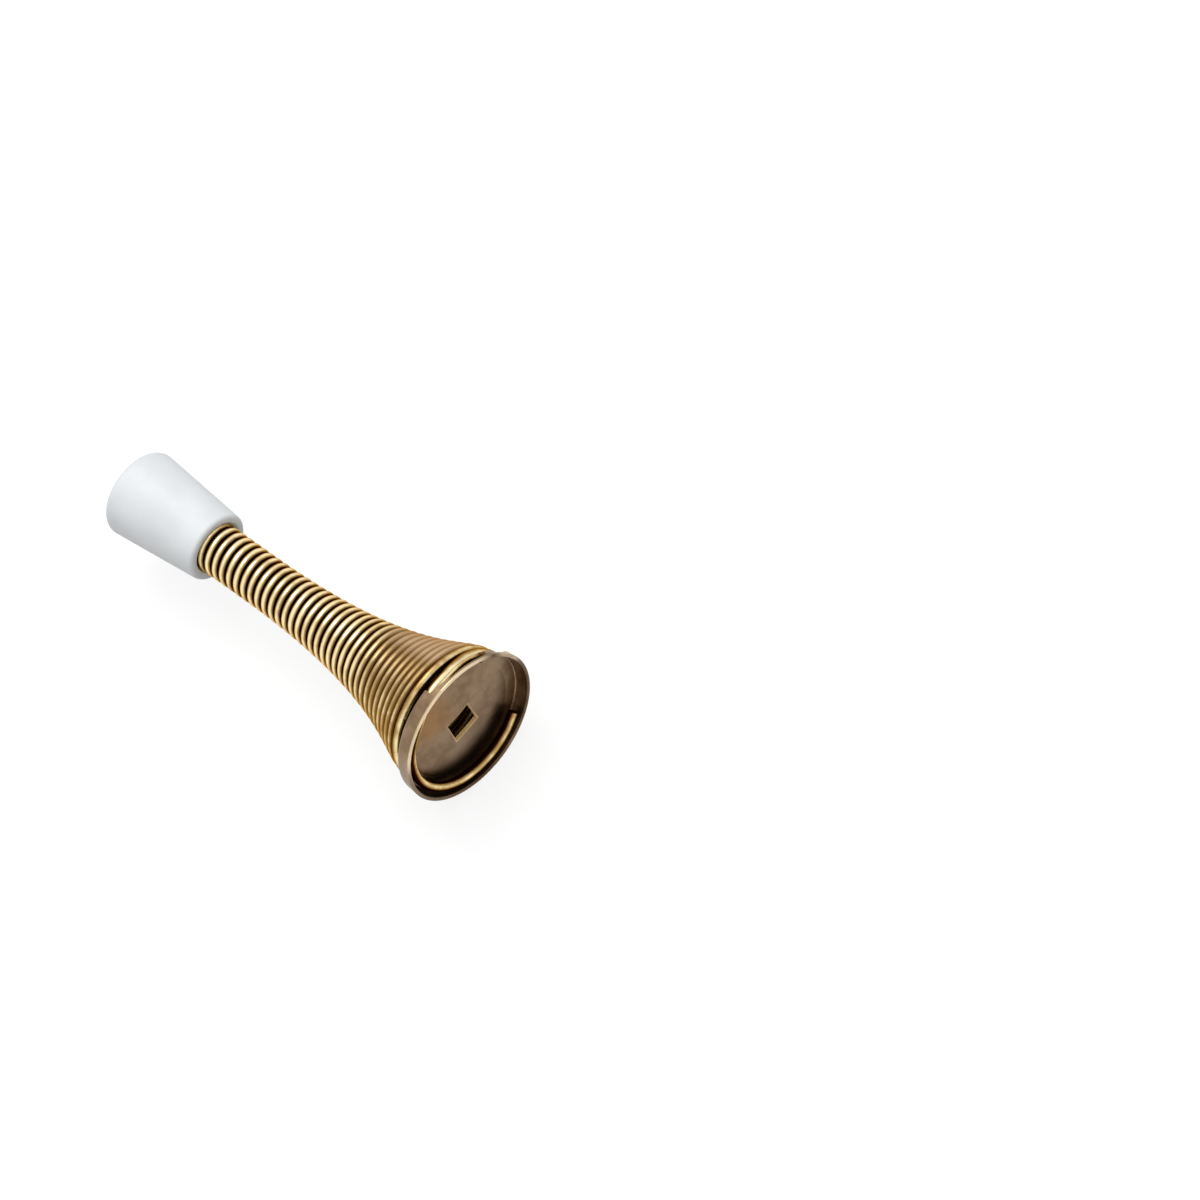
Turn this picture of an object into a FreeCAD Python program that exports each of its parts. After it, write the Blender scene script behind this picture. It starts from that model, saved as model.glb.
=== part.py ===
"""Spring door stop: a pressed steel base cup, a flared close-wound spring and a push-on rubber tip.

The axis runs along +X, from the cup's open edge on the wall at x = 0 to the tip. Sizes are in millimetres, and
angles about the axis are in degrees from +Y towards +Z.
"""

import FreeCAD
import Part
import Sketcher

import math
import os

SIZES = [
    ("rim_diameter", 28.6, "base cup across its open edge"),
    ("sheet_thickness", 0.7, "steel sheet of the base cup"),
    ("lip_flare", 0.35, "how far the lip leans out from the cup floor to the open edge"),
    ("lip_gap", 0.4, "room between the wire and the root of the lip"),
    ("corner_radius", 0.2, "inside bend from the cup floor to the lip"),
    ("rim_rounding", 0.25, "rounding of the open edge"),
    ("floor_dome", 0.9, "rise of the cup floor at its centre, towards the wall"),
    ("hole_width", 5.2, "square screw hole in the cup floor"),
    ("rim_strip", 0.65, "unbroken strip of lip left beside the window"),
    ("rim_strip_start", 1.7, "the same strip where the window starts"),
    ("window_start", 83, "angle where the window in the lip starts"),
    ("window_taper", 18, "angle over which the strip narrows"),
    ("window_turn", 85, "angle that the window covers"),
    ("slot_clearance", 0.15, "room around the wire where it crosses the sheet"),
    ("slot_margin", 4, "angle that the slot runs past the crossing at each end"),
    ("wire_diameter", 1.64, "spring wire"),
    ("coil_gap", 0.075, "space between neighbouring turns"),
    ("neck_diameter", 9.04, "outside of the spring where it is straight"),
    ("flare_length", 47.1, "length over which the spring widens towards the cup"),
    ("bell_handle", 4.6, "how far the spring keeps its full width at the cup"),
    ("neck_handle", 35.9, "how far the spring keeps its narrow width towards the cup"),
    ("neck_length", 22.65, "length of the straight part of the spring"),
    ("wire_end_angle", -133, "angle of the wire's cut end inside the cup"),
    ("tail_start", -60, "angle where the wire inside the cup starts to near the cup floor"),
    ("crossing_start", 54, "angle where the wire starts to rise through the slot"),
    ("crossing_turn", 38, "angle that the rise through the slot takes"),
    ("crossing_rise", 1.29, "how far the wire rises through the slot"),
    ("climb_start", 90, "angle where the wire starts to climb onto the back of the cup"),
    ("climb_turn", 50, "angle that the climb takes"),
    ("coil_start", 160, "angle where the close turns start"),
    ("wall_recess", 0.2, "wire inside the cup, below the open edge"),
    ("tail_room", 0.66, "room between the wire inside the cup and the cup floor"),
    ("seat_gap", 0.05, "room between the wire and what it lies on"),
    ("bore_clearance", 0.06, "room between the spring and the bore of the tip"),
    ("tip_diameter", 16.0, "tip at its free end"),
    ("tip_length", 20.15, "tip from its mouth to its free end"),
    ("tip_end_thickness", 6.1, "rubber between the bore and the free end"),
    ("tip_wall", 1.7, "rubber around the bore at the mouth"),
    ("tip_crown", 0.5, "rise of the free end at its centre"),
    ("mouth_rounding", 0.7, "rounding of the mouth of the tip"),
    ("end_rounding", 1.5, "rounding of the free end of the tip"),
]

QUARTER_TURN = 90.0
CROSSING_STEP = 14.0
TANGENT_STEP = 0.1
MATCH = 1e-4

doc = FreeCAD.newDocument("door_stop")


def make_sheet():
    """Puts every driving size into a spreadsheet cell of its own."""
    sheet = doc.addObject("Spreadsheet::Sheet", "dims")
    for row, (alias, value, note) in enumerate(SIZES, 1):
        sheet.set(f"A{row}", note)
        sheet.set(f"B{row}", str(value))
        sheet.setAlias(f"B{row}", alias)
    doc.recompute()
    return sheet


dims = make_sheet()

# places that more than one piece shares, along the axis and away from it
FLOOR = "(dims.wall_recess + dims.wire_diameter + dims.seat_gap + dims.tail_room)"
BACK = f"({FLOOR} + dims.sheet_thickness)"
RIM = "(dims.rim_diameter / 2)"
LIP_ROOT = f"({RIM} - dims.lip_flare)"
BELL = f"({LIP_ROOT} - dims.sheet_thickness - dims.lip_gap - dims.wire_diameter / 2)"
SLOT_HALF = "(dims.wire_diameter / 2 + dims.slot_clearance)"
SLOT_INSIDE = f"({BELL} - {SLOT_HALF})"
SLOT_OUTSIDE = f"({BELL} + {SLOT_HALF})"
BORE = "(dims.neck_diameter / 2 + dims.bore_clearance)"
SPRING_START = f"({BACK} + dims.seat_gap + dims.wire_diameter / 2)"
SPRING_END = f"({SPRING_START} + dims.flare_length + dims.neck_length)"
BORE_END = f"({SPRING_END} + dims.wire_diameter / 2 + dims.seat_gap)"
MOUTH = f"({BORE_END} + dims.tip_end_thickness - dims.tip_length)"


def size(expression):
    """Value of an expression in the sheet's sizes."""
    return float(dims.evalExpression(expression))


def new_body(name):
    body = doc.addObject("PartDesign::Body", name)
    body.Label = name
    return body


def new_sketch(body, name, role="XY_Plane"):
    """Sketch on one of the body's own origin planes."""
    sketch = body.newObject("Sketcher::SketchObject", name)
    plane = next(f for f in body.Origin.OriginFeatures if f.Role == role)
    sketch.AttachmentSupport = (plane, [""])
    sketch.MapMode = "FlatFace"
    return sketch


def arc_on_axis(tip, end):
    """Arc from tip, on the axis, to end, with its centre on the axis, and whether it runs from end to tip."""
    centre = (end.x**2 + end.y**2 - tip.x**2) / (2 * (end.x - tip.x))
    circle = Part.Circle(FreeCAD.Vector(centre, 0, 0), FreeCAD.Vector(0, 0, 1), abs(tip.x - centre))
    slope = math.atan2(end.y, end.x - centre)
    if tip.x < centre:
        return Part.ArcOfCircle(circle, slope, math.pi), True
    return Part.ArcOfCircle(circle, 0, slope), False


def draw_outline(sketch, corners, domes=()):
    """Closed outline through corners, pairs of expressions along and away from the axis.

    A side in domes is an arc between a corner on the axis and its other corner. Every other side is straight.
    """
    points = [FreeCAD.Vector(size(x), size(y), 0) for x, y in corners]
    starts, ends = [], []
    for side, (here, there) in enumerate(zip(points, points[1:] + points[:1])):
        if side not in domes:
            starts.append((sketch.addGeometry(Part.LineSegment(here, there)), 1))
            ends.append((starts[-1][0], 2))
            continue
        on_axis_first = abs(here.y) < MATCH
        arc, backwards = arc_on_axis(here, there) if on_axis_first else arc_on_axis(there, here)
        index = sketch.addGeometry(arc)
        sketch.addConstraint(Sketcher.Constraint("PointOnObject", index, 3, -1))
        swapped = backwards == on_axis_first
        starts.append((index, 2 if swapped else 1))
        ends.append((index, 1 if swapped else 2))
    for side, (x, y) in enumerate(corners):
        start = starts[side]
        sketch.addConstraint(Sketcher.Constraint("Coincident", *ends[side - 1], *start))
        pin_corner(sketch, start, "DistanceX", x, -2)
        pin_corner(sketch, start, "DistanceY", y, -1)


def pin_corner(sketch, corner, direction, expression, axis):
    """Holds one coordinate of a corner at an expression, or on the sketch's own axis where it is 0."""
    if expression == "0":
        sketch.addConstraint(Sketcher.Constraint("PointOnObject", *corner, axis))
        return
    index = sketch.addConstraint(Sketcher.Constraint(direction, -1, 1, *corner, size(expression)))
    sketch.setExpression(f"Constraints[{index}]", expression)


def revolve(body, sketch, name):
    """Full turn of a sketch about the object's axis."""
    feature = body.newObject("PartDesign::Revolution", name)
    feature.Profile = sketch
    feature.ReferenceAxis = (sketch, ["H_Axis"])
    feature.Angle = 360
    doc.recompute()
    return feature


def round_rings(body, base, name, radius, rings):
    """Fillet on the circular edges at the given (x, radius) places."""
    names = []
    for index, edge in enumerate(base.Shape.Edges, 1):
        if edge.Degenerated or not isinstance(edge.Curve, Part.Circle):
            continue
        place = (edge.Curve.Center.x, edge.Curve.Radius)
        if any(math.dist(place, (size(x), size(r))) < MATCH for x, r in rings):
            names.append(f"Edge{index}")
    feature = body.newObject("PartDesign::Fillet", name)
    feature.Base = (base, names)
    feature.setExpression("Radius", radius)
    doc.recompute()
    return feature


def place_sketch(sketch, turn, y="0", z="0"):
    """Turns a sketch about the object's axis and moves its origin to y and z, all of them expressions."""
    sketch.AttachmentOffset = FreeCAD.Placement(
        FreeCAD.Vector(0, size(y), size(z)), FreeCAD.Rotation(FreeCAD.Vector(1, 0, 0), size(turn))
    )
    sketch.setExpression("AttachmentOffset.Rotation.Angle", turn)
    sketch.setExpression("AttachmentOffset.Base.y", y)
    sketch.setExpression("AttachmentOffset.Base.z", z)


def sweep_out(body, name, start, turn, corners):
    """Cuts an outline's sweep about the axis, from angle start over angle turn."""
    sketch = new_sketch(body, f"{name}_section")
    place_sketch(sketch, start)
    draw_outline(sketch, corners)
    feature = body.newObject("PartDesign::Groove", name)
    feature.Profile = sketch
    feature.ReferenceAxis = (sketch, ["H_Axis"])
    feature.setExpression("Angle", turn)
    doc.recompute()


def make_base_cup():
    """Shallow drawn cup with a domed floor, whose slot and window let the spring wire into it."""
    body = new_body("base_cup")
    section = new_sketch(body, "cup_section")
    dome = f"({SLOT_INSIDE} - dims.slot_clearance)"
    lip_inside = f"({LIP_ROOT} - dims.sheet_thickness)"
    draw_outline(
        section,
        [
            (f"{FLOOR} - dims.floor_dome", "0"),
            (FLOOR, dome),
            (FLOOR, lip_inside),
            ("0", f"{RIM} - dims.sheet_thickness"),
            ("0", RIM),
            (BACK, LIP_ROOT),
            (BACK, dome),
            (f"{BACK} - dims.floor_dome", "0"),
        ],
        domes=(0, 6),
    )
    cup = revolve(body, section, "cup")
    inside = round_rings(body, cup, "inside_bend", "dims.corner_radius", [(FLOOR, lip_inside)])
    bend = "dims.corner_radius + dims.sheet_thickness"
    outside = round_rings(body, inside, "outside_bend", bend, [(BACK, LIP_ROOT)])
    edges = [("0", RIM), ("0", f"{RIM} - dims.sheet_thickness")]
    round_rings(body, outside, "rim_edges", "dims.rim_rounding", edges)
    cut_wire_slot(body)
    cut_lip_window(body)
    cut_screw_hole(body)
    return body


def cut_wire_slot(body):
    """Slot in the floor of the cup, along the stretch where the wire rises through the sheet."""
    near, far = f"{FLOOR} - dims.sheet_thickness", f"{BACK} + dims.sheet_thickness"
    sweep_out(
        body,
        "wire_slot",
        "dims.crossing_start - dims.slot_margin",
        "dims.climb_start + dims.climb_turn - dims.crossing_start + 2 * dims.slot_margin",
        [(near, SLOT_INSIDE), (far, SLOT_INSIDE), (far, SLOT_OUTSIDE), (near, SLOT_OUTSIDE)],
    )


def cut_lip_window(body):
    """Window through the bend of the cup, behind a strip of lip that narrows where the window starts."""
    far = f"{BACK} + dims.sheet_thickness"
    outside = f"({RIM} + dims.sheet_thickness)"
    sweep_out(
        body,
        "lip_window",
        "dims.window_start + dims.window_taper",
        "dims.window_turn - dims.window_taper",
        [("dims.rim_strip", SLOT_OUTSIDE), (far, SLOT_OUTSIDE), (far, outside), ("dims.rim_strip", outside)],
    )
    middle = "(dims.window_start + dims.window_taper / 2)"
    half = f"{RIM} * tan(dims.window_taper / 2 * 1 deg)"
    sketch = new_sketch(body, "window_start_outline")
    # the sketch faces straight out from the axis, halfway along the slanted start
    place_sketch(sketch, f"{middle} - 90", f"{outside} * cos({middle} * 1 deg)", f"{outside} * sin({middle} * 1 deg)")
    draw_outline(
        sketch,
        [("dims.rim_strip_start", half), (far, half), (far, f"-{half}"), ("dims.rim_strip", f"-{half}")],
    )
    start = body.newObject("PartDesign::Pocket", "window_start")
    start.Profile = sketch
    start.setExpression("Length", f"{outside} - {SLOT_INSIDE}")
    doc.recompute()


def cut_screw_hole(body):
    """Square hole through the middle of the floor."""
    sketch = new_sketch(body, "screw_hole_outline", "YZ_Plane")
    half = "dims.hole_width / 2"
    draw_outline(sketch, [(half, half), (f"-{half}", half), (f"-{half}", f"-{half}"), (half, f"-{half}")])
    hole = body.newObject("PartDesign::Pocket", "screw_hole")
    hole.Profile = sketch
    hole.Midplane = True
    hole.setExpression("Length", f"4 * {BACK}")
    doc.recompute()


def flare_profile():
    """Line of the wire's centre, from the cup to the spring's narrow end, in the plane of +X and +Y."""
    start, end = size(SPRING_START), size(SPRING_END)
    neck = (size("dims.neck_diameter") - size("dims.wire_diameter")) / 2
    flare_end = start + size("dims.flare_length")
    curve = Part.BezierCurve()
    curve.setPoles(
        [
            FreeCAD.Vector(start, size(BELL), 0),
            FreeCAD.Vector(start + size("dims.bell_handle"), size(BELL), 0),
            FreeCAD.Vector(flare_end - size("dims.neck_handle"), neck, 0),
            FreeCAD.Vector(flare_end, neck, 0),
        ]
    )
    straight = Part.LineSegment(FreeCAD.Vector(flare_end, neck, 0), FreeCAD.Vector(end, neck, 0))
    return curve.toShape(), straight.toShape()


def ease(share):
    """Smooth step from 0 to 1."""
    share = min(max(share, 0.0), 1.0)
    return share * share * (3 - 2 * share)


def make_wire_route():
    """Function that gives the wire's centre at an angle about the axis, and the angle of its last point."""
    flare, straight = flare_profile()
    pitch = size("dims.wire_diameter + dims.coil_gap")
    inside, bell = size("dims.wall_recess + dims.wire_diameter / 2"), size(BELL)
    coiling = size("dims.coil_start")
    last = coiling + 360 * (flare.Length + straight.Length) / pitch
    tail, crossing = size("dims.tail_start"), size("dims.crossing_start")
    rises = [
        (tail, crossing - tail, size("dims.tail_room")),
        (crossing, size("dims.crossing_turn"), size("dims.crossing_rise")),
    ]
    rest_of_climb = size(SPRING_START) - inside - sum(rise for start, turn, rise in rises)
    rises.append((size("dims.climb_start"), size("dims.climb_turn"), rest_of_climb))

    def centre(angle):
        if angle <= coiling:
            x = inside + sum(rise * ease((angle - start) / turn) for start, turn, rise in rises)
            radius = bell
        else:
            travel = pitch * (angle - coiling) / 360
            edge, rest = (flare, travel) if travel <= flare.Length else (straight, travel - flare.Length)
            # round-off can carry the last point a hair past the line's end
            point = edge.valueAt(edge.getParameterByLength(min(rest, edge.Length)))
            x, radius = point.x, point.y
        turn = math.radians(angle)
        return FreeCAD.Vector(x, radius * math.cos(turn), radius * math.sin(turn))

    return centre, last


def two_arcs(start, leave, end, arrive):
    """Two tangent arcs from start to end, which leave along one direction and arrive along the other."""
    chord, both = end - start, leave + arrive
    bend = 2 * (1 - leave.dot(arrive))
    reach = (math.sqrt(chord.dot(both) ** 2 + bend * chord.dot(chord)) - chord.dot(both)) / bend
    first, second = start + leave * reach, end - arrive * reach
    middle = (first + second) / 2
    return [rounded_corner(start, first, middle), rounded_corner(middle, second, end)]


def rounded_corner(start, corner, end):
    """Arc from start to end that touches the two equal sides meeting at corner."""
    halfway = (start + end) / 2
    share = (end - start).Length / 2 / (corner - start).Length
    return Part.Arc(start, halfway + (corner - halfway) * (share / (1 + share)), end).toShape()


def make_coil_spring():
    """One wire: round the inside of the cup, out through its slot, then close turns that narrow to the tip."""
    centre, last = make_wire_route()
    angle = size("dims.wire_end_angle")
    close_turns = size("dims.coil_start")
    angles = [angle]
    while angle < last - MATCH:
        angle = min(angle + (CROSSING_STEP if angle < close_turns else QUARTER_TURN), last)
        angles.append(angle)
    points = [centre(a) for a in angles]
    courses = []
    for a in angles:
        before, after = max(a - TANGENT_STEP, angles[0]), min(a + TANGENT_STEP, last)
        courses.append((centre(after) - centre(before)).normalize())
    arcs = []
    for here, course, there, next_course in zip(points, courses, points[1:], courses[1:]):
        arcs += two_arcs(here, course, there, next_course)
    wire_radius = size("dims.wire_diameter / 2")
    section = Part.Wire(Part.Circle(points[0], courses[0], wire_radius).toShape())
    spring = doc.addObject("Part::Feature", "coil_spring")
    spring.Label = "coil_spring"
    spring.Shape = Part.Wire(arcs).makePipeShell([section], True, False)
    spring.Placement = FreeCAD.Placement()
    expected = math.pi * wire_radius**2 * sum(arc.Length for arc in arcs)
    print(f"coil_spring: {len(arcs)} arcs, volume {spring.Shape.Volume:.2f}, expected {expected:.2f}")
    return spring


def make_rubber_tip():
    """Tapered round tip with a blind bore for the end of the spring."""
    body = new_body("rubber_tip")
    body.setExpression("Placement.Base.x", MOUTH)
    section = new_sketch(body, "tip_section")
    bore_depth = "(dims.tip_length - dims.tip_end_thickness)"
    mouth_radius = f"({BORE} + dims.tip_wall)"
    edge = "(dims.tip_length - dims.tip_crown)"
    end_radius = "dims.tip_diameter / 2"
    draw_outline(
        section,
        [
            (bore_depth, "0"),
            (bore_depth, BORE),
            ("0", BORE),
            ("0", mouth_radius),
            (edge, end_radius),
            ("dims.tip_length", "0"),
        ],
        domes=(4,),
    )
    tip = revolve(body, section, "tip")
    mouth = round_rings(body, tip, "mouth_edges", "dims.mouth_rounding", [("0", BORE), ("0", mouth_radius)])
    round_rings(body, mouth, "end_edge", "dims.end_rounding", [(edge, end_radius)])
    return body


def check(parts):
    """Stops before anything is written if an object failed or a piece isn't a sound solid."""
    failed = [o.Name for o in doc.Objects if "Invalid" in o.State or "Error" in o.State]
    unsound = [p.Label for p in parts if p.Shape.isNull() or not p.Shape.isValid() or not p.Shape.Solids]
    if failed or unsound:
        raise RuntimeError(f"failed objects {failed}, unsound pieces {unsound}")


pieces = [make_base_cup(), make_coil_spring(), make_rubber_tip()]
doc.recompute()
check(pieces)
os.makedirs("parts", exist_ok=True)
for piece in pieces:
    piece.Shape.exportStep(f"parts/{piece.Label}.step")
    print(f"{piece.Label}: volume {piece.Shape.Volume:.2f}, box {piece.Shape.BoundBox}")
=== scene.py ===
"""Spring door stop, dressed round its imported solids: plated cup, close-wound spring and white rubber tip."""

import math

import bpy
import numpy as np
from mathutils import Matrix, Vector


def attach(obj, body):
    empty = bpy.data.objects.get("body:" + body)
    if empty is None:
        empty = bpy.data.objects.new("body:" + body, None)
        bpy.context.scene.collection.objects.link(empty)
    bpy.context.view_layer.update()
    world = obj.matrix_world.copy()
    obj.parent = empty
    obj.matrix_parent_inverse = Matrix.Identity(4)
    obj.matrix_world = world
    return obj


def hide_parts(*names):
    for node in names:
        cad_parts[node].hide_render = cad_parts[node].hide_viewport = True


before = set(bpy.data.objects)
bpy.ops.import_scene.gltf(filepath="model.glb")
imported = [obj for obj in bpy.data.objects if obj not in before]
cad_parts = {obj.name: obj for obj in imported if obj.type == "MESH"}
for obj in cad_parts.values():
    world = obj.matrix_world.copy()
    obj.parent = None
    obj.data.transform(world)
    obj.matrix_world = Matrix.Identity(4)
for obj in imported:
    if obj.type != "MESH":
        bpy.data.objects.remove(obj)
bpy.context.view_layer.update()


# Base cup: a disc of thin steel pressed into a shallow dish with a slightly domed floor, plated in antique
# brass and left dark. A screw through its square hole fixes it to the wall. Handling has rubbed its open edge
# and the edges of the hole back to bright brass. Painted highlights brighten the upper and left open edge, the
# lip, a corner by the slot and the low side of the hole, and painted shade darkens the floor's low side and
# the lower open edge.
MM = 0.001
HOLE_HALF = 2.6 * MM
HOLE_EDGE = 0.02 * MM
HOLE_WEAR = 0.14 * MM
HOLE_LOW_HIGHLIGHT = 0.22 * MM
HOLE_ROUGHENING = 0.3
HOLE_DULLING = 0.6
CORNER_HIGHLIGHT = 0.5
LIP_HIGHLIGHT = 0.1
BROKEN_WEAR = 0.25
FLOOR_PAINTED_SHADE = 0.52
SIDE_PAINTED_SHADE = 0.7
EDGE_PAINTED_SHADE = 0.8
WARM_SHARE = 0.35
WARM_CLOUDS = 0.45
CUP_CLOUD_SCALE = 260.0
CUP_GRAIN_SCALE = 5200.0
CUP_ROUGHNESS = 0.24
CUP_GRAIN_ROUGHNESS = 0.25
CUP_GRAIN_RELIEF = 0.25
GRAIN_DEPTH = 0.02 * MM
CUP_DARK = (0.185, 0.112, 0.058, 1)
CUP_BROWN = (0.275, 0.186, 0.112, 1)
CUP_WARM = (0.30, 0.158, 0.055, 1)
CUP_PAINTED_SHADE = (0.050, 0.024, 0.008, 1)
CUP_BRIGHT = (0.86, 0.69, 0.46, 1)
HOLE_BRIGHT = (0.88, 0.60, 0.27, 1)


def add_node(tree, kind, inputs=None, **settings):
    """New node with the given settings, whose sockets take a value or another node's output."""
    made = tree.nodes.new(kind)
    for name, value in settings.items():
        setattr(made, name, value)
    for socket, value in (inputs or {}).items():
        if isinstance(value, bpy.types.NodeSocket):
            tree.links.new(value, made.inputs[socket])
        else:
            made.inputs[socket].default_value = value
    return made


def sums(tree, operation, *values):
    """Output of a Math node."""
    return add_node(tree, "ShaderNodeMath", dict(enumerate(values)), operation=operation).outputs[0]


def chain(tree, operation, first, *others):
    """Output of one Math operation carried along any number of values."""
    total = first
    for other in others:
        total = sums(tree, operation, total, other)
    return total


def slope(tree, value, start, end):
    """Smooth rise from 0 at start to 1 at end."""
    inputs = {"Value": value, "From Min": start, "From Max": end}
    return add_node(tree, "ShaderNodeMapRange", inputs, interpolation_type="SMOOTHSTEP").outputs["Result"]


def zone(tree, *rises):
    """Mask of a place: the product of smooth rises, each a coordinate with its start and its end in mm."""
    masks = [slope(tree, value, start * MM, end * MM) for value, start, end in rises]
    return chain(tree, "MULTIPLY", *masks)


def noise(tree, place, scale, detail, roughness=0.5):
    """Output of a Noise Texture node."""
    inputs = {"Vector": place, "Scale": scale, "Detail": detail, "Roughness": roughness}
    return add_node(tree, "ShaderNodeTexNoise", inputs).outputs[0]


def blend_colours(tree, share, first, second):
    """Colour that goes from the first to the second with the share, on a Mix node's colour sockets."""
    return add_node(tree, "ShaderNodeMix", {0: share, 6: first, 7: second}, data_type="RGBA").outputs[2]


def add_relief(tree, shader, height, strength):
    """Fine grain in the surface's normal."""
    inputs = {"Height": height, "Strength": strength, "Distance": GRAIN_DEPTH}
    tree.links.new(add_node(tree, "ShaderNodeBump", inputs).outputs[0], shader.inputs["Normal"])


def new_material(name):
    """Material with an empty tree, its Principled shader and its Object coordinates."""
    material = bpy.data.materials.new(name)
    material.use_nodes = True
    tree = material.node_tree
    tree.nodes.clear()
    shader = add_node(tree, "ShaderNodeBsdfPrincipled")
    add_node(tree, "ShaderNodeOutputMaterial", {"Surface": shader.outputs["BSDF"]})
    place = add_node(tree, "ShaderNodeTexCoord").outputs["Object"]
    return material, tree, shader, place


def make_plating_group():
    """Antique plating: cloudy patches of tone, and a fine grain that makes the surface slightly rough."""
    group = bpy.data.node_groups.new("antique_plating", "ShaderNodeTree")
    group.interface.new_socket("Place", in_out="INPUT", socket_type="NodeSocketVector")
    for name in ("Cloud Scale", "Grain Scale"):
        group.interface.new_socket(name, in_out="INPUT", socket_type="NodeSocketFloat")
    for name in ("Cloud", "Grain"):
        group.interface.new_socket(name, in_out="OUTPUT", socket_type="NodeSocketFloat")
    given = group.nodes.new("NodeGroupInput").outputs
    cloud = noise(group, given["Place"], given["Cloud Scale"], 5.0, 0.6)
    grain = noise(group, given["Place"], given["Grain Scale"], 3.0, 0.55)
    add_node(group, "NodeGroupOutput", {"Cloud": slope(group, cloud, 0.32, 0.68), "Grain": grain})
    return group


plating = make_plating_group()


def add_plating(tree, place, cloud_scale, grain_scale):
    """The plating group in a material, with that material's own scales."""
    inputs = {"Place": place, "Cloud Scale": cloud_scale, "Grain Scale": grain_scale}
    used = add_node(tree, "ShaderNodeGroup", inputs, node_tree=plating)
    return used.outputs["Cloud"], used.outputs["Grain"]


def cup_wear_and_highlights(tree, x, y, z, from_axis):
    """Masks of rubbed and painted highlights: the open edge, its inner side and the lip, and the hole's edges.
    """
    # Painted highlight on the open edge's upper and left parts, its inner side, the lip and a corner by the
    # slot.
    top = zone(tree, (x, 0.45, 0.10), (z, 9.0, 12.5))
    left = zone(tree, (x, 0.45, 0.10), (y, 3.0, 9.0), (z, 3.0, 8.0))
    inner = zone(tree, (x, 0.7, 0.3), (from_axis, 13.85, 13.70), (y, 0.0, 8.0), (z, -1.0, 5.0))
    corner = zone(tree, (from_axis, 13.3, 13.8), (y, -10.5, -12.5), (z, 1.5, 4.0))
    lip = zone(tree, (from_axis, 13.3, 13.8), (y, 3.0, 11.0))
    faint_corner = sums(tree, "MULTIPLY", corner, CORNER_HIGHLIGHT)
    faint_lip = sums(tree, "MULTIPLY", lip, LIP_HIGHLIGHT)
    # The hole's edges are rubbed all round, with a painted highlight that widens the band on its low side.
    across = sums(tree, "MAXIMUM", sums(tree, "ABSOLUTE", y), sums(tree, "ABSOLUTE", z))
    low_side = slope(tree, z, 0.0, -HOLE_HALF)
    reach = sums(tree, "MULTIPLY_ADD", low_side, HOLE_LOW_HIGHLIGHT, HOLE_HALF + HOLE_WEAR)
    hole = slope(tree, across, reach, HOLE_HALF + HOLE_EDGE)
    return chain(tree, "MAXIMUM", top, left, inner, faint_corner, faint_lip), hole


def cup_painted_shade(tree, x, y, z, from_axis):
    """Mask of painted shade: the floor's low side, and the open edge at the bottom and on one side."""
    floor = zone(tree, (z, -3.0, -10.0), (from_axis, 12.2, 11.4))
    bottom = zone(tree, (z, 5.0, -6.0), (y, -7.0, 3.0), (from_axis, 12.8, 13.4))
    side = zone(tree, (y, -2.0, -10.0), (x, 0.6, 0.2), (from_axis, 12.8, 13.4))
    edge = sums(tree, "MAXIMUM", bottom, sums(tree, "MULTIPLY", side, SIDE_PAINTED_SHADE))
    return sums(tree, "MULTIPLY_ADD", floor, FLOOR_PAINTED_SHADE, sums(tree, "MULTIPLY", edge, EDGE_PAINTED_SHADE))


def cup_warmth(tree, y, z, from_axis, cloud):
    """Mask of the cloudy place on the upper floor where the plating is thin and looks more golden."""
    patch = zone(tree, (y, -1.5, 2.5), (y, 9.5, 6.0), (z, 1.5, 5.5), (from_axis, 12.4, 11.6))
    return sums(tree, "MULTIPLY", patch, sums(tree, "MULTIPLY_ADD", cloud, WARM_CLOUDS, WARM_SHARE))


def make_cup_material():
    """Cloudy bronze-brown plate with its golden place and painted shade, under bright wear and painted
    highlights.
    """
    material, tree, shader, place = new_material("bronzed_sheet")
    cloud, grain = add_plating(tree, place, CUP_CLOUD_SCALE, CUP_GRAIN_SCALE)
    x, y, z = add_node(tree, "ShaderNodeSeparateXYZ", {0: place}).outputs
    from_axis = sums(tree, "SQRT", sums(tree, "MULTIPLY_ADD", y, y, sums(tree, "MULTIPLY", z, z)))
    edge_wear_and_highlight, hole_wear_and_highlight = cup_wear_and_highlights(tree, x, y, z, from_axis)
    plate = blend_colours(tree, cloud, CUP_DARK, CUP_BROWN)
    plate = blend_colours(tree, cup_warmth(tree, y, z, from_axis, cloud), plate, CUP_WARM)
    # Painted shade darkens the floor's low side and the open edge at the bottom and on one side.
    shaded = blend_colours(tree, cup_painted_shade(tree, x, y, z, from_axis), plate, CUP_PAINTED_SHADE)
    unbroken = sums(tree, "MULTIPLY_ADD", cloud, BROKEN_WEAR, 1 - BROKEN_WEAR)
    # Wear and painted highlight: the rubbed, lit edges and the hole's edges are blended to bright brass.
    rubbed = blend_colours(tree, sums(tree, "MULTIPLY", edge_wear_and_highlight, unbroken), shaded, CUP_BRIGHT)
    tree.links.new(blend_colours(tree, hole_wear_and_highlight, rubbed, HOLE_BRIGHT), shader.inputs["Base Color"])
    roughness = sums(tree, "MULTIPLY_ADD", grain, CUP_GRAIN_ROUGHNESS, CUP_ROUGHNESS)
    roughness = sums(tree, "MULTIPLY_ADD", hole_wear_and_highlight, HOLE_ROUGHENING, roughness)
    tree.links.new(roughness, shader.inputs["Roughness"])
    tree.links.new(sums(tree, "MULTIPLY_ADD", hole_wear_and_highlight, -HOLE_DULLING, 1.0), shader.inputs["Metallic"])
    add_relief(tree, shader, grain, CUP_GRAIN_RELIEF)
    return material


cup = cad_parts["base_cup"]
cup.data.materials.clear()
cup.data.materials.append(make_cup_material())
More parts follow.
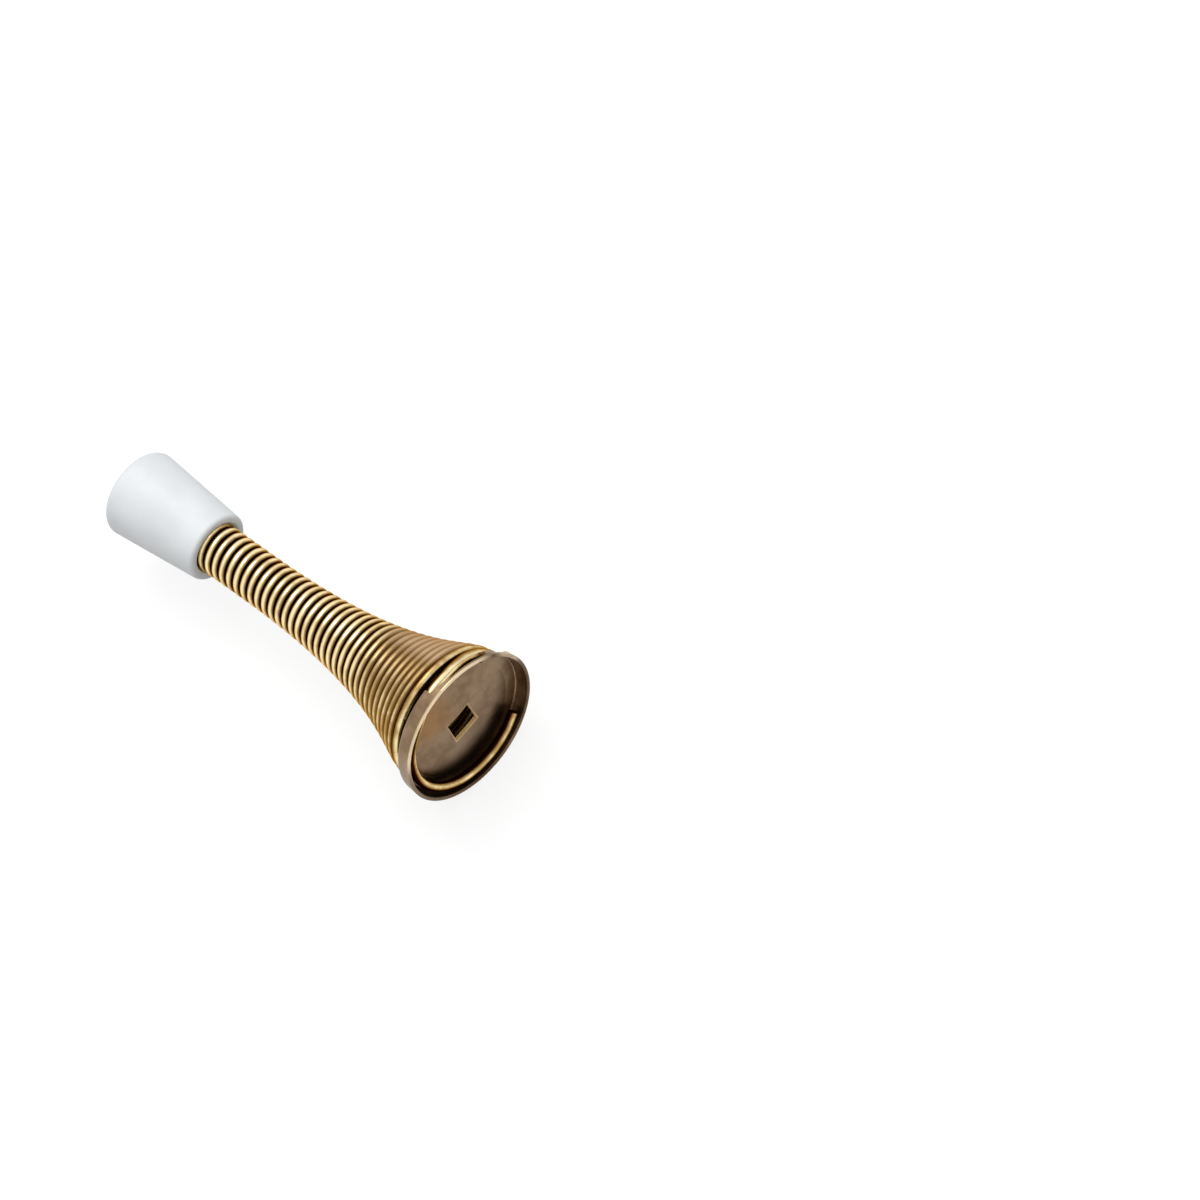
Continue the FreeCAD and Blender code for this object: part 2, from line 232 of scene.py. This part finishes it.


# Coil spring: one length of hard steel wire, plated in antique brass. Its end lies inside the cup, goes out
# through the slot, and winds in close right-hand turns that narrow to a straight neck. The plating is rubbed
# bright on the crowns of the turns, with a painted highlight, and stays dark in the grooves between them,
# with painted shade. The bell is painted darker and duller towards -y and paler on its far -y side.
WIRE_RADIUS = 0.85 * MM
TURN_PITCH = 1.715 * MM
BELL_RADIUS = 12.03 * MM
NECK_RADIUS = 3.70 * MM
TAIL_X = 1.02 * MM
BELL_X = 4.12 * MM
FLARE_END_X = 51.22 * MM
NECK_END_X = 73.87 * MM
BELL_HANDLE = 4.6 * MM
NECK_HANDLE = 35.9 * MM
WIRE_END_ANGLE = -133.0
TAIL_START = -60.0
TAIL_RISE = 0.66 * MM
CROSSING_START = 54.0
CROSSING_TURN = 38.0
CROSSING_RISE = 1.29 * MM
CLIMB_START = 90.0
CLIMB_TURN = 50.0
COIL_START = 160.0
CHAMFER_SHARES = np.array([0.35, 0.80, 0.86, 0.96, 1.0])
CHAMFER_DEPTHS = np.array([0.0, 0.0, 0.02, 0.10, 0.22]) * MM
FLARE_POINTS = 6000
STEPS_PER_TURN = 64
STEPS_AROUND = 24
BRIGHT_SIDE = 8.0
FIRST_BRIGHT_SIDE = 36.0
FIRST_END = 1.3
FIRST_FADE = 0.6
FIRST_WIDENING = 0.68
TAIL_BRIGHT_SIDE = 112.0
TAIL_FADE = 0.3
TAIL_WIDENING = 0.14
TAIL_DULLING = 0.05
CUT_END_WEAR = [0.9, 0.0]
FLANK_WEAR_AND_SHADE = (0.74, 0.98)
CROWN_WEAR_AND_HIGHLIGHT = (0.92, 1.03)
BELL_DULLING = 0.05
CLOUD_WEAR = 0.06
BELL_GROOVE_SHARE = 0.55
WIRE_CLOUD_SCALE = 300.0
WIRE_GRAIN_SCALE = 4200.0
WIRE_ROUGHNESS = 0.16
WIRE_GRAIN_ROUGHNESS = 0.16
DULL_ROUGHENING = 0.16
WIRE_GRAIN_RELIEF = 0.12
WIRE_GROOVE = (0.022, 0.004, 0.001, 1)
WIRE_BRASS = (0.46, 0.28, 0.095, 1)
WIRE_CROWN = (0.97, 0.83, 0.50, 1)
WIRE_EDGE = (0.64, 0.39, 0.17, 1)
DULL_GROOVE = (0.23, 0.125, 0.036, 1)
DULL_CROWN = (0.27, 0.178, 0.090, 1)
PALE_GROOVE = (0.35, 0.222, 0.115, 1)
PALE_CROWN = (0.59, 0.41, 0.25, 1)


def flare_line():
    """Wire centre's outline from cup to neck: a cubic curve with handles along the axis, then a straight.

    Each point is the sum of the four poles weighted by the Bernstein terms of t. Gives x, radius and the
    length so far.
    """
    t = np.linspace(0, 1, FLARE_POINTS)
    weights = np.stack([(1 - t) ** 3, 3 * t * (1 - t) ** 2, 3 * t**2 * (1 - t), t**3], 1)
    x = weights @ np.array([BELL_X, BELL_X + BELL_HANDLE, FLARE_END_X - NECK_HANDLE, FLARE_END_X])
    radius = weights @ np.array([BELL_RADIUS, BELL_RADIUS, NECK_RADIUS, NECK_RADIUS])
    x, radius = np.append(x, NECK_END_X), np.append(radius, NECK_RADIUS)
    travel = np.append(0, np.cumsum(np.hypot(np.diff(x), np.diff(radius))))
    return x, radius, travel


def smooth_step(share):
    """3 s squared less 2 s cubed, held between 0 and 1."""
    share = np.clip(share, 0, 1)
    return share * share * (3 - 2 * share)


def wire_route():
    """Wire centre by angle: a circle inside the cup, three smooth steps through the sheet, then close turns.

    The steps go nearer to the cup floor, through the slot and onto the back of the cup. The turns then
    advance by one pitch a turn along the flare line. Gives the centre, the outward direction, the number of
    turns done and the angle by which the flare leans there.
    """
    line_x, line_radius, line_travel = flare_line()
    last = COIL_START + 360 * line_travel[-1] / TURN_PITCH
    angle = np.linspace(WIRE_END_ANGLE, last, int((last - WIRE_END_ANGLE) / 360 * STEPS_PER_TURN))
    turns = (angle - COIL_START) / 360
    travel = TURN_PITCH * turns
    climb_rise = BELL_X - TAIL_X - TAIL_RISE - CROSSING_RISE
    crossing = TAIL_X + TAIL_RISE * smooth_step((angle - TAIL_START) / (CROSSING_START - TAIL_START))
    crossing += CROSSING_RISE * smooth_step((angle - CROSSING_START) / CROSSING_TURN)
    crossing += climb_rise * smooth_step((angle - CLIMB_START) / CLIMB_TURN)
    x = np.where(turns <= 0, crossing, np.interp(travel, line_travel, line_x))
    radius = np.where(turns <= 0, BELL_RADIUS, np.interp(travel, line_travel, line_radius))
    turn = np.radians(angle)
    outward = np.stack([np.zeros_like(turn), np.cos(turn), np.sin(turn)], 1)
    lean = np.interp(travel, line_travel, np.arctan2(-np.gradient(line_radius), np.gradient(line_x)))
    return outward * radius[:, None] + np.stack([x, 0 * x, 0 * x], 1), outward, turns, lean


def wire_surface(centre, outward):
    """Circle of the wire's radius carried square to its centre line, with chamfered cut ends.

    A point is centre + radius (cos a times the outward normal + sin a times the binormal). The end rings
    repeat the end points, moved in along the line and shrunk to the chamfer. Gives points by ring and the
    angle a.
    """
    course = np.gradient(centre, axis=0)
    course /= np.linalg.norm(course, axis=1, keepdims=True)
    normal = outward - course * np.sum(outward * course, 1, keepdims=True)
    normal /= np.linalg.norm(normal, axis=1, keepdims=True)
    side = np.cross(course, normal)
    start = centre[0] + CHAMFER_DEPTHS[:, None] * course[0]
    end = centre[-1] - CHAMFER_DEPTHS[::-1, None] * course[-1]
    inner = slice(2, -2)
    rings = np.concatenate([start, centre[inner], end])
    scale = np.concatenate([CHAMFER_SHARES, np.ones(len(centre[inner])), CHAMFER_SHARES[::-1]]) * WIRE_RADIUS
    many = len(CHAMFER_SHARES)
    normal, side = (
        np.concatenate([np.repeat(lines[:1], many, 0), lines[inner], np.repeat(lines[-1:], many, 0)])
        for lines in (normal, side)
    )
    a = np.linspace(0, 2 * np.pi, STEPS_AROUND, endpoint=False)
    spokes = normal[:, None] * np.cos(a)[None, :, None] + side[:, None] * np.sin(a)[None, :, None]
    return rings[:, None] + scale[:, None, None] * spokes, a


def wire_wear_and_shine(turns, lean, angle, end_rings):
    """Wear and painted highlight by ring and by angle round the wire: the cosine of the angle from its bright
    side.

    The bright side is the outside of the flare. The first turn has a neighbour on one side alone, and the
    stretch inside the cup has none, so both are rubbed more widely, and nearer to the side that faces the
    wall. Widening lifts the cosine towards 1 by its share, and dulling is taken off. High values stand for
    wear with a painted highlight, low ones for patina with painted shade between the turns.
    """
    tail_turns = (CROSSING_START - COIL_START) / 360
    tail = smooth_step((turns - tail_turns) / (TAIL_FADE * tail_turns) + 1)
    first = smooth_step((FIRST_END - turns) / FIRST_FADE) * (1 - tail)
    bright_side = np.radians(BRIGHT_SIDE) - lean
    bright_side += (np.radians(FIRST_BRIGHT_SIDE) - bright_side) * first
    bright_side += (np.radians(TAIL_BRIGHT_SIDE) - bright_side) * tail
    widening = FIRST_WIDENING * first + TAIL_WIDENING * tail
    dulling = TAIL_DULLING * tail
    bright_side, widening, dulling = (
        np.pad(values, end_rings, mode="edge")[:, None] for values in (bright_side, widening, dulling)
    )
    return np.cos(angle - bright_side) * (1 - widening) + widening - dulling


def closed_tube(name, rings, poles):
    """Mesh of rings joined by quads, each end closed by a fan of triangles to its pole, faces outward."""
    count, around = rings.shape[:2]
    points = np.concatenate([rings.reshape(-1, 3), poles])
    here = np.arange(count * around).reshape(count, around)
    there = np.roll(here, -1, axis=1)
    quads = np.stack([here[:-1], there[:-1], there[1:], here[1:]], -1).reshape(-1, 4)
    first, second = count * around, count * around + 1
    start = np.stack([np.full(around, first), there[0], here[0]], -1)
    end = np.stack([np.full(around, second), here[-1], there[-1]], -1)
    mesh = bpy.data.meshes.new(name)
    mesh.from_pydata(points.tolist(), [], quads.tolist() + start.tolist() + end.tolist())
    mesh.shade_smooth()
    piece = bpy.data.objects.new(name, mesh)
    bpy.context.scene.collection.objects.link(piece)
    return piece


def make_wire_material():
    """Brass plate: bright crowns with painted highlights, brown flanks, dark grooves with painted shade,
    duller bell.
    """
    material, tree, shader, place = new_material("antique_brass_wire")
    cloud, grain = add_plating(tree, place, WIRE_CLOUD_SCALE, WIRE_GRAIN_SCALE)
    crown = add_node(tree, "ShaderNodeAttribute", attribute_name="crown").outputs["Fac"]
    x, y = add_node(tree, "ShaderNodeSeparateXYZ", {0: place}).outputs[:2]
    uneven = sums(tree, "MULTIPLY_ADD", cloud, CLOUD_WEAR, crown)
    # Painted light on the bell: crowns toned down near the cup, darker and duller towards -y, paler with weak
    # grooves on the far -y side.
    uneven = sums(tree, "MULTIPLY_ADD", zone(tree, (x, 26.0, 12.0), (x, 2.6, 4.0)), -BELL_DULLING, uneven)
    bell = zone(tree, (x, 24.0, 15.0), (x, 5.6, 7.2))
    dull = sums(tree, "MULTIPLY", bell, zone(tree, (y, 9.0, -5.0)))
    pale = sums(tree, "MULTIPLY", bell, zone(tree, (y, -1.6, -4.8)))
    # Crowns are bright from wear with a painted highlight; grooves are dark from patina with painted shade.
    brass = blend_colours(tree, slope(tree, uneven, *CROWN_WEAR_AND_HIGHLIGHT), WIRE_BRASS, WIRE_CROWN)
    brass = blend_colours(tree, pale, blend_colours(tree, dull, brass, DULL_CROWN), PALE_CROWN)
    dull_groove = sums(tree, "MAXIMUM", dull, sums(tree, "MULTIPLY", bell, BELL_GROOVE_SHARE))
    groove = blend_colours(tree, dull_groove, WIRE_GROOVE, DULL_GROOVE)
    groove = blend_colours(tree, pale, groove, PALE_GROOVE)
    wire = blend_colours(tree, slope(tree, uneven, *FLANK_WEAR_AND_SHADE), groove, brass)
    tree.links.new(wire, shader.inputs["Base Color"])
    roughness = sums(tree, "MULTIPLY_ADD", grain, WIRE_GRAIN_ROUGHNESS, WIRE_ROUGHNESS)
    tree.links.new(sums(tree, "MULTIPLY_ADD", dull, DULL_ROUGHENING, roughness), shader.inputs["Roughness"])
    add_relief(tree, shader, grain, WIRE_GRAIN_RELIEF)
    shader.inputs["Metallic"].default_value = 1.0
    shader.inputs["Specular Tint"].default_value = WIRE_EDGE
    return material


wire_centre, wire_outward, wire_turns, wire_lean = wire_route()
wire_rings, wire_angle = wire_surface(wire_centre, wire_outward)
spring = closed_tube("brass_spring", wire_rings, wire_centre[[0, -1]])
# Crown values by point: wear with a painted highlight, and painted shade towards the grooves.
crown = wire_wear_and_shine(wire_turns, wire_lean, wire_angle, (len(wire_rings) - len(wire_turns)) // 2)
crown = np.append(crown.ravel(), CUT_END_WEAR).astype(np.float32)
spring.data.attributes.new("crown", "FLOAT", "POINT").data.foreach_set("value", crown)
spring.data.materials.append(make_wire_material())
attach(spring, "root")
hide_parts("coil_spring")


# Rubber tip: a tapered plug moulded in white rubber, pushed over the narrow end of the spring. Its free end
# is slightly crowned and well rounded, and its mouth has a soft rounded lip.
TIP_MOUTH_X = 60.69 * MM
TIP_END_X = 80.84 * MM
TIP_BORE_END_X = 74.74 * MM
TIP_BORE_RADIUS = 4.58 * MM
TIP_MOUTH_RADIUS = 6.28 * MM
TIP_END_RADIUS = 8.0 * MM
TIP_CROWN = 0.5 * MM
BORE_ROUNDING = 0.3 * MM
MOUTH_ROUNDING = 0.7 * MM
END_ROUNDING = 1.5 * MM
BORE_POLE_SHARE = 0.2
END_POLE_SHARE = 0.06
ROUNDING_STEPS = 9
TIP_CROWN_STEPS = 12
TIP_STEPS_AROUND = 128
BLOOM_SCALE = 180.0
BLOOM_TONE = (0.3, 0.7)
BLOOM_ROUGHNESS = 0.2
SKIN_SCALE = 3500.0
SKIN_ROUGHNESS = 0.38
SKIN_RELIEF = 0.15
TIP_WHITE = (0.83, 0.855, 0.87, 1)
TIP_SHADE = (0.77, 0.80, 0.82, 1)


def rounded_line(corners, radii):
    """Line through corners whose inner corners become arcs of the given radii.

    At a corner with unit directions u in and v out, the arc leaves the corner's sides at radius times
    tan(b / 2), where b is the angle between u and v. Its points are its first point, plus the radius times
    (1 - cos a) along the normal to u, plus the radius times sin a along u.
    """
    corners = np.asarray(corners)
    course = np.diff(corners, axis=0)
    course /= np.linalg.norm(course, axis=1, keepdims=True)
    line = [corners[:1]]
    for corner, before, after, radius in zip(corners[1:-1], course[:-1], course[1:], radii):
        turn = np.arctan2(before[0] * after[1] - before[1] * after[0], before @ after)
        normal = np.sign(turn) * np.array([-before[1], before[0]])
        first = corner - before * radius * np.tan(abs(turn) / 2)
        a = np.linspace(0, abs(turn), ROUNDING_STEPS)[:, None]
        line.append(first + radius * (normal * (1 - np.cos(a)) + before * np.sin(a)))
    return np.concatenate(line + [corners[-1:]])


def tip_surface():
    """Section of the tip turned about the axis, ring by ring, from the bottom of the bore to the free end.

    The section goes out along the bore, over the rounded mouth, up the taper and round the free end. The
    crown of that end falls with the square of the distance from the axis.
    """
    edge = TIP_END_X - TIP_CROWN
    crown_slope = 2 * TIP_CROWN / TIP_END_RADIUS
    inner = 0.5 * TIP_END_RADIUS
    corners = [
        (TIP_BORE_END_X, BORE_POLE_SHARE * TIP_BORE_RADIUS),
        (TIP_BORE_END_X, TIP_BORE_RADIUS),
        (TIP_MOUTH_X, TIP_BORE_RADIUS),
        (TIP_MOUTH_X, TIP_MOUTH_RADIUS),
        (edge, TIP_END_RADIUS),
        (edge + crown_slope * inner, TIP_END_RADIUS - inner),
    ]
    line = rounded_line(corners, [BORE_ROUNDING, MOUTH_ROUNDING, MOUTH_ROUNDING, END_ROUNDING])[:-1]
    radius = np.linspace(line[-1, 1], END_POLE_SHARE * TIP_END_RADIUS, TIP_CROWN_STEPS)[1:]
    fall = (TIP_END_X - line[-1, 0]) / line[-1, 1] ** 2
    line = np.concatenate([line, np.stack([TIP_END_X - fall * radius**2, radius], 1)])
    a = np.linspace(0, 2 * np.pi, TIP_STEPS_AROUND, endpoint=False)
    x = np.repeat(line[:, :1], len(a), 1)
    return np.stack([x, line[:, 1:] * np.cos(a), line[:, 1:] * np.sin(a)], -1)


def make_tip_material():
    """White moulded rubber: almost even, with a faint bloom and a fine matt skin."""
    material, tree, shader, place = new_material("white_rubber")
    bloom = noise(tree, place, BLOOM_SCALE, 4.0)
    tone = slope(tree, bloom, *BLOOM_TONE)
    tree.links.new(blend_colours(tree, tone, TIP_SHADE, TIP_WHITE), shader.inputs["Base Color"])
    roughness = sums(tree, "MULTIPLY_ADD", bloom, BLOOM_ROUGHNESS, SKIN_ROUGHNESS)
    tree.links.new(roughness, shader.inputs["Roughness"])
    add_relief(tree, shader, noise(tree, place, SKIN_SCALE, 2.0), SKIN_RELIEF)
    return material


tip_ends = np.array([[TIP_BORE_END_X, 0, 0], [TIP_END_X, 0, 0]])
tip = closed_tube("moulded_tip", tip_surface(), tip_ends)
tip.data.materials.append(make_tip_material())
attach(tip, "root")
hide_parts("rubber_tip")


# Floor, light and camera: a white sweep under the stop, soft light from above and the left, and a long lens
# that looks into the open side of the cup.
FLOOR_Z = -14.6 * MM
FLOOR_REACH = 3.0
FLOOR_GREY = (0.25, 0.25, 0.25, 1)
FLOOR_GLOW = 0.8
WHITE = (1, 1, 1, 1)
SKY_LIGHT = 0.72
FRAME_WIDTH = 200.9 * MM
SENSOR_WIDTH = 36
CAMERA_DISTANCE = 8.0
CAMERA_ROLL = math.radians(-54.65)
TOWARD_CAMERA = Vector((-0.5170, 0.1630, 0.8403)).normalized()
ACROSS = TOWARD_CAMERA.cross(Vector((-1, 0, 0))).normalized()
CAMERA_RIGHT = Matrix.Rotation(CAMERA_ROLL, 3, TOWARD_CAMERA) @ ACROSS
CAMERA_UP = TOWARD_CAMERA.cross(CAMERA_RIGHT)
AIM = CAMERA_RIGHT * 21.84 * MM + CAMERA_UP * 21.36 * MM
STOP_MIDDLE = Vector((40 * MM, 0, 0))
LAMP_PLACE = TOWARD_CAMERA * 0.35 + CAMERA_UP * 0.45 - CAMERA_RIGHT * 0.25
LAMP_WIDTH = 0.4
LAMP_POWER = 1.4


def seen_share(tree):
    """1 for rays from the camera, and for reflected and refracted rays, otherwise 0."""
    rays = tree.nodes.new("ShaderNodeLightPath").outputs
    kinds = ("Is Camera Ray", "Is Transmission Ray", "Is Glossy Ray")
    return chain(tree, "MAXIMUM", *(rays[kind] for kind in kinds))


def make_floor():
    """Square sheet, white where it is seen, that still takes a faint shadow."""
    edge = FLOOR_REACH
    corners = [(-edge, -edge, FLOOR_Z), (edge, -edge, FLOOR_Z), (edge, edge, FLOOR_Z), (-edge, edge, FLOOR_Z)]
    mesh = bpy.data.meshes.new("floor")
    mesh.from_pydata(corners, [], [(0, 1, 2, 3)])
    material = bpy.data.materials.new("white_sweep")
    material.use_nodes = True
    tree = material.node_tree
    tree.nodes.clear()
    strength = sums(tree, "MULTIPLY", seen_share(tree), FLOOR_GLOW)
    paper = add_node(tree, "ShaderNodeBsdfDiffuse", {"Color": FLOOR_GREY})
    glow = add_node(tree, "ShaderNodeEmission", {"Color": WHITE, "Strength": strength})
    both = add_node(tree, "ShaderNodeAddShader", {0: paper.outputs[0], 1: glow.outputs[0]})
    add_node(tree, "ShaderNodeOutputMaterial", {"Surface": both.outputs[0]})
    mesh.materials.append(material)
    floor = bpy.data.objects.new("floor", mesh)
    bpy.context.scene.collection.objects.link(floor)


def make_world():
    """Even white surroundings: full white where they are seen, softer as a light."""
    world = bpy.data.worlds.new("studio")
    bpy.context.scene.world = world
    world.use_nodes = True
    tree = world.node_tree
    tree.nodes.clear()
    strength = sums(tree, "MULTIPLY_ADD", seen_share(tree), 1 - SKY_LIGHT, SKY_LIGHT)
    sky = add_node(tree, "ShaderNodeBackground", {"Color": WHITE, "Strength": strength})
    add_node(tree, "ShaderNodeOutputWorld", {"Surface": sky.outputs[0]})


def make_lamp():
    """Square soft light whose -Z axis points at the middle of the stop."""
    lamp = bpy.data.lights.new("key", "AREA")
    lamp.shape = "SQUARE"
    lamp.size = LAMP_WIDTH
    lamp.energy = LAMP_POWER
    holder = bpy.data.objects.new("key", lamp)
    bpy.context.scene.collection.objects.link(holder)
    turned = (STOP_MIDDLE - LAMP_PLACE).to_track_quat("-Z", "Y").to_matrix().to_4x4()
    holder.matrix_world = Matrix.Translation(LAMP_PLACE) @ turned


def make_camera():
    """Long lens, far off, turned so that the picture's right and up are the given directions."""
    lens = bpy.data.cameras.new("camera")
    lens.sensor_width = SENSOR_WIDTH
    lens.lens = SENSOR_WIDTH * CAMERA_DISTANCE / FRAME_WIDTH
    camera = bpy.data.objects.new("camera", lens)
    bpy.context.scene.collection.objects.link(camera)
    turned = Matrix((CAMERA_RIGHT, CAMERA_UP, TOWARD_CAMERA)).transposed().to_4x4()
    camera.matrix_world = Matrix.Translation(AIM + TOWARD_CAMERA * CAMERA_DISTANCE) @ turned
    bpy.context.scene.camera = camera


make_floor()
make_world()
make_lamp()
make_camera()
bpy.context.scene.view_settings.view_transform = "Standard"
